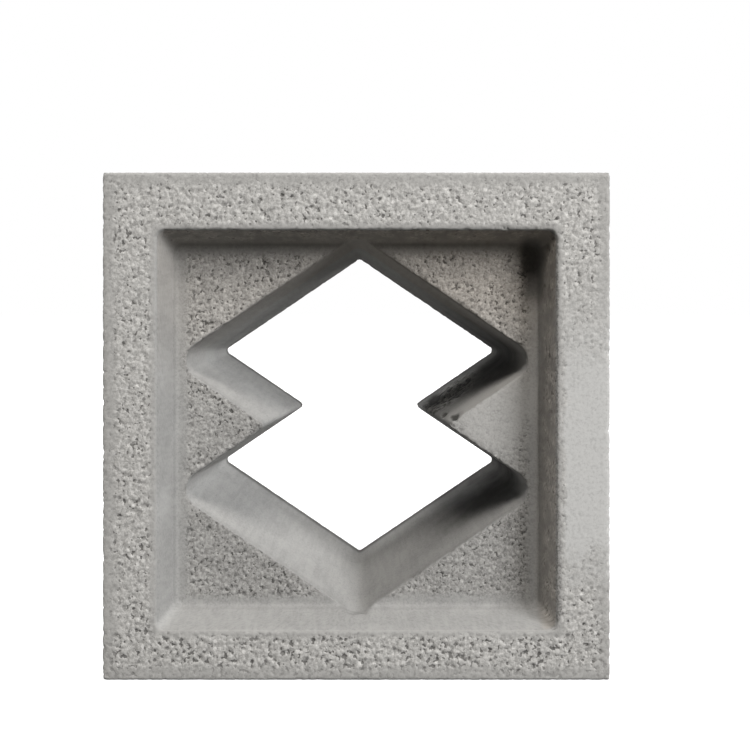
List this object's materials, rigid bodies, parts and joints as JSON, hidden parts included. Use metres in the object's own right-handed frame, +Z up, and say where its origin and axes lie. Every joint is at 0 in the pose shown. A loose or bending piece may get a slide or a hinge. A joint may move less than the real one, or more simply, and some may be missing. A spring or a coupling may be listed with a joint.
{
  "type": "hollow screen block",
  "caption": "Square cast screen block with a shallow recess and a through opening of overlapping diamonds, laid in walls that let air and light pass.",
  "frame": {"origin": "middle of the bottom bed face, where the block stands", "axes": "+Z up through the beds, +X along the wall, +Y through the wall from the patterned face to the back"},
  "size_m": [0.19, 0.09, 0.19],
  "materials": {
    "cast_concrete": "matt grey cast concrete, granular on the patterned face and smoother where the mould slid"
  },
  "bodies": {
    "root": {"screen_block": "cast_concrete"}
  },
  "joints": []
}
